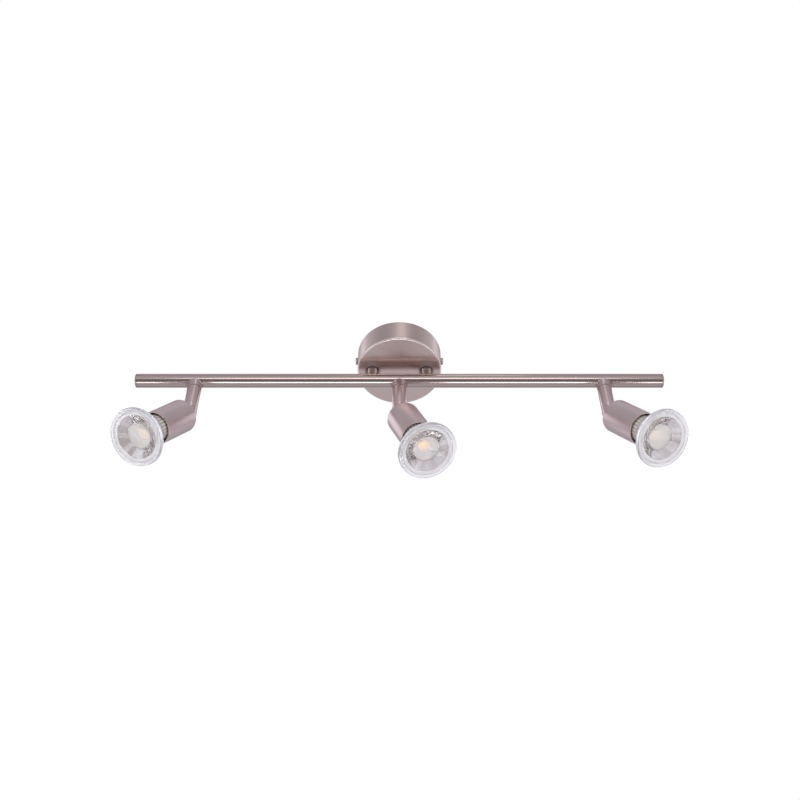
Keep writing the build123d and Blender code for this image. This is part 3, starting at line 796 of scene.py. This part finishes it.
for side, (x, tilt, azimuth) in HEADS.items():
    make_stem(side, x, azimuth)
    a, d = math.radians(azimuth), math.radians(tilt)
    axis = (math.sin(d) * math.cos(a), math.sin(d) * math.sin(a), -math.cos(d))
    back = (x + HINGE_BACK * axis[0], HINGE_BACK * axis[1], HINGE_Z + HINGE_BACK * axis[2])
    at = placed(back, (math.sin(a), -math.cos(a), 0), axis)
    make_cup(side, at)
    make_lamp(side, at)
    make_light(side, at)

# ------------------------------------------------------------------ finishes on the parts kept as they are
FINISH = {
    "mounting_bracket": zinc_mat, "terminal_block": nylon, "terminal_inserts": brass_mat, "terminal_screws": zinc_mat,
    "earth_screw": brass_mat, "hollow_nipples": zinc_mat, "nipple_nuts": zinc_mat, "bar_harness": sleeve,
}
for side in HEADS:
    FINISH.update({
        "stem_lead_" + side: sleeve, "lampholder_" + side: phenolic, "lampholder_screws_" + side: zinc_mat,
        "lampholder_contacts_" + side: brass_mat, "lampholder_leads_" + side: sleeve,
        "lamp_base_" + side: white_base, "lamp_pins_" + side: bright,
    })
for node, material in FINISH.items():
    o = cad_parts[node]
    o.data.materials.clear()
    o.data.materials.append(material)

# ------------------------------------------------------------------ floor, light, camera
bm = bmesh.new()
bmesh.ops.create_grid(bm, x_segments=8, y_segments=8, size=6.0)
floor = keep(bm, "floor", Matrix.Translation((0, 0, -2.4)))
net = Net("floor_paint")
at = net.coords()
net.set(Base_Color=net.mix(net.noise(at, 3.0, 4.0), (0.80, 0.80, 0.80), (0.84, 0.84, 0.84)), Roughness=0.7)
floor.data.materials.append(net.mat)
floor.visible_glossy = floor.visible_transmission = False

E = math.radians(49.69)
TO_EYE = Vector((0, -math.cos(E), -math.sin(E)))
UP = Vector((0, -math.sin(E), math.cos(E)))
HUB = Vector((0, 0, BAR_Z * MM))

world = bpy.data.worlds.new("studio")
bpy.context.scene.world = world
world.use_nodes = True
wt = world.node_tree
wt.nodes.clear()
w_out = wt.nodes.new("ShaderNodeOutputWorld")
w_mix = wt.nodes.new("ShaderNodeMixShader")
w_white = wt.nodes.new("ShaderNodeBackground")
w_white.inputs[0].default_value = (1, 1, 1, 1)
w_white.inputs[1].default_value = 1.0
w_through = wt.nodes.new("ShaderNodeBackground")
w_room = wt.nodes.new("ShaderNodeBackground")
w_seen = wt.nodes.new("ShaderNodeMixShader")
path = wt.nodes.new("ShaderNodeLightPath")
inv = wt.nodes.new("ShaderNodeMath")
inv.operation = "SUBTRACT"
inv.inputs[0].default_value = 1.0
mul = wt.nodes.new("ShaderNodeMath")
mul.operation = "MULTIPLY"
wt.links.new(path.outputs["Is Transmission Ray"], inv.inputs[1])
wt.links.new(path.outputs["Is Glossy Ray"], mul.inputs[0])
wt.links.new(inv.outputs[0], mul.inputs[1])
first = wt.nodes.new("ShaderNodeMath")
first.operation = "LESS_THAN"
first.inputs[1].default_value = 0.5
direct = wt.nodes.new("ShaderNodeMath")
direct.operation = "MULTIPLY"
wt.links.new(path.outputs["Diffuse Depth"], first.inputs[0])
wt.links.new(path.outputs["Is Transmission Ray"], direct.inputs[0])
wt.links.new(first.outputs[0], direct.inputs[1])
wt.links.new(direct.outputs[0], w_seen.inputs[0])
wt.links.new(w_white.outputs[0], w_seen.inputs[1])
wt.links.new(w_through.outputs[0], w_seen.inputs[2])
wt.links.new(mul.outputs[0], w_mix.inputs[0])
wt.links.new(w_seen.outputs[0], w_mix.inputs[1])
wt.links.new(w_room.outputs[0], w_mix.inputs[2])
wt.links.new(w_mix.outputs[0], w_out.inputs[0])
# white behind the object, dim on the photographer's side of the room
tc = wt.nodes.new("ShaderNodeTexCoord")
dot = wt.nodes.new("ShaderNodeVectorMath")
dot.operation = "DOT_PRODUCT"
wt.links.new(tc.outputs["Generated"], dot.inputs[0])
dot.inputs[1].default_value = TO_EYE
half_dot = wt.nodes.new("ShaderNodeMath")
half_dot.operation = "MULTIPLY_ADD"
half_dot.inputs[1].default_value = half_dot.inputs[2].default_value = 0.5
wt.links.new(dot.outputs["Value"], half_dot.inputs[0])


def room(background, stops):
    ramp = wt.nodes.new("ShaderNodeValToRGB")
    wt.links.new(half_dot.outputs[0], ramp.inputs[0])
    marks = ramp.color_ramp.elements
    while len(marks) < len(stops):
        marks.new(0.5)
    for mark, (where, colour) in zip(marks, stops):
        mark.position = where
        mark.color = (*colour, 1)
    wt.links.new(ramp.outputs[0], background.inputs[0])
    background.inputs[1].default_value = 1.0


room(w_room, [
    (0.0, (0.30, 0.29, 0.32)), (0.03, (0.42, 0.41, 0.45)), (0.085, (0.60, 0.585, 0.65)), (0.22, (0.56, 0.55, 0.60)), (0.31, (0.36, 0.345, 0.38)), (0.36, (0.39, 0.375, 0.41)), (0.43, (0.56, 0.55, 0.585)),
    (0.90, (0.56, 0.55, 0.595)), (0.985, (0.22, 0.215, 0.23)),
])
room(w_through, [
    (0.30, (1.0, 1.0, 1.0)), (0.45, (0.88, 0.87, 0.93)), (0.58, (0.66, 0.63, 0.66)), (0.78, (0.34, 0.29, 0.27)), (1.0, (0.16, 0.13, 0.12)),
])


def softbox(name, direction, distance, width, height, glow, colour, long_axis=(1, 0, 0)):
    data = bpy.data.lights.new(name, "AREA")
    data.shape = "RECTANGLE"
    data.size, data.size_y = width, height
    data.energy = glow * math.pi * width * height
    data.color = colour
    o = bpy.data.objects.new(name, data)
    bpy.context.scene.collection.objects.link(o)
    back = Vector(direction).normalized()
    x = Vector(long_axis)
    x = (x - back * x.dot(back)).normalized()
    y = back.cross(x)
    m = Matrix.Identity(4)
    where = HUB + back * distance
    for i in range(3):
        m[i][0], m[i][1], m[i][2], m[i][3] = x[i], y[i], back[i], where[i]
    o.matrix_world = m
    o.visible_camera = False
    return o


softbox("front_strip", (0, -0.980, -0.199), 1.5, 0.90, 0.36, 1.95, (1.0, 0.98, 0.97))
softbox("front_glow", (0, -0.990, 0.140), 1.5, 1.2, 0.60, 0.16, (1.0, 0.95, 0.90))
softbox("under_strip", (0, -0.210, -0.978), 1.5, 1.25, 0.40, 2.64, (1.0, 1.0, 1.0))
softbox("back_fill", (0, 0.647, -0.763), 1.6, 0.9, 0.5, 0.05, (1.0, 0.97, 0.95))
softbox("left_strip", (-0.960, -0.200, -0.195), 1.5, 1.3, 0.20, 2.2, (0.98, 0.97, 1.0), (0, 1, 0))
softbox("right_strip", (0.960, -0.200, -0.195), 1.5, 1.3, 0.20, 1.8, (1.0, 0.98, 0.98), (0, 1, 0))
softbox("low_left", (-0.67, -0.05, -0.74), 1.5, 0.5, 0.5, 0.35, (0.95, 0.92, 1.0))
softbox("low_right", (0.67, -0.05, -0.74), 1.5, 0.5, 0.5, 0.35, (0.95, 0.92, 1.0))
softbox("left_box", (-0.66, 0.40, 0.64), 1.6, 0.7, 0.7, 0.78, (0.95, 0.91, 1.0), (0, 1, 0))
softbox("right_box", (0.66, 0.40, 0.64), 1.6, 0.7, 0.7, 0.62, (0.96, 0.92, 1.0), (0, 1, 0))
softbox("left_rim", (-0.76, 0.65, 0.0), 1.6, 0.45, 0.45, 1.6, (1.0, 0.98, 1.0), (0, 1, 0))
softbox("right_rim", (0.76, 0.65, 0.0), 1.6, 0.45, 0.45, 0.8, (1.0, 0.98, 1.0), (0, 1, 0))
softbox("front_box", (0.06, -0.64, 0.76), 1.6, 0.35, 0.6, 0.60, (1.0, 0.96, 0.94))

cam_data = bpy.data.cameras.new("camera")
cam = bpy.data.objects.new("camera", cam_data)
bpy.context.scene.collection.objects.link(cam)
cam_data.sensor_width = 36.0
SCALE = 1.1306
DIST = 1.050
cam_data.lens = 36.0 * SCALE * DIST * 1000 / 800
cam.location = HUB + TO_EYE * DIST + UP * ((468.8 - 488.0) / SCALE * MM) + Vector((0.67 / SCALE * MM, 0, 0))
right = Vector((1, 0, 0))
m = Matrix.Identity(4)
for i in range(3):
    m[i][0], m[i][1], m[i][2], m[i][3] = right[i], UP[i], TO_EYE[i], cam.location[i]
cam.matrix_world = m
cam_data.clip_start, cam_data.clip_end = 0.01, 50.0
bpy.context.scene.camera = cam
bpy.context.scene.view_settings.view_transform = "Standard"
bpy.context.scene.cycles.max_bounces = 24
bpy.context.scene.cycles.glossy_bounces = 16
bpy.context.scene.cycles.transmission_bounces = 24
